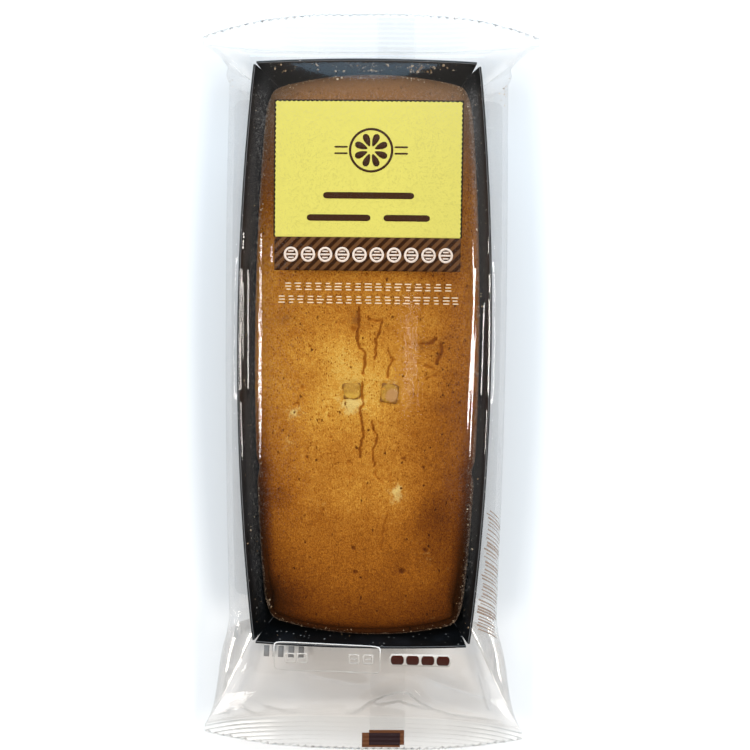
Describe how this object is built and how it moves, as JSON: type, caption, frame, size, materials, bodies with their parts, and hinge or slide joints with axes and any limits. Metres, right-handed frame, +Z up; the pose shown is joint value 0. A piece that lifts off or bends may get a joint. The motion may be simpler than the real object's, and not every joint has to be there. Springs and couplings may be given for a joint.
{
  "type": "loaf cake in a sealed film bag",
  "caption": "Golden lemon loaf cake in a black card loaf tray, sealed in a clear flow-wrap bag with crimped, zigzag-cut ends and a yellow and brown printed label panel.",
  "frame": {"origin": "on the table under the middle of the bag's box", "axes": "+X across the loaf to the right of the label, +Y along the loaf towards the label's upper end, +Z up out of the tray"},
  "size_m": [0.126, 0.283, 0.0475],
  "materials": {
    "card": "black coated card with a slight sheen",
    "crust": "baked golden brown crust, matt and porous",
    "film": "clear glossy packing film, crinkled, with crimped seals"
  },
  "bodies": {
    "root": {"tray": "card", "cake": "crust", "bag": "film"}
  },
  "joints": []
}
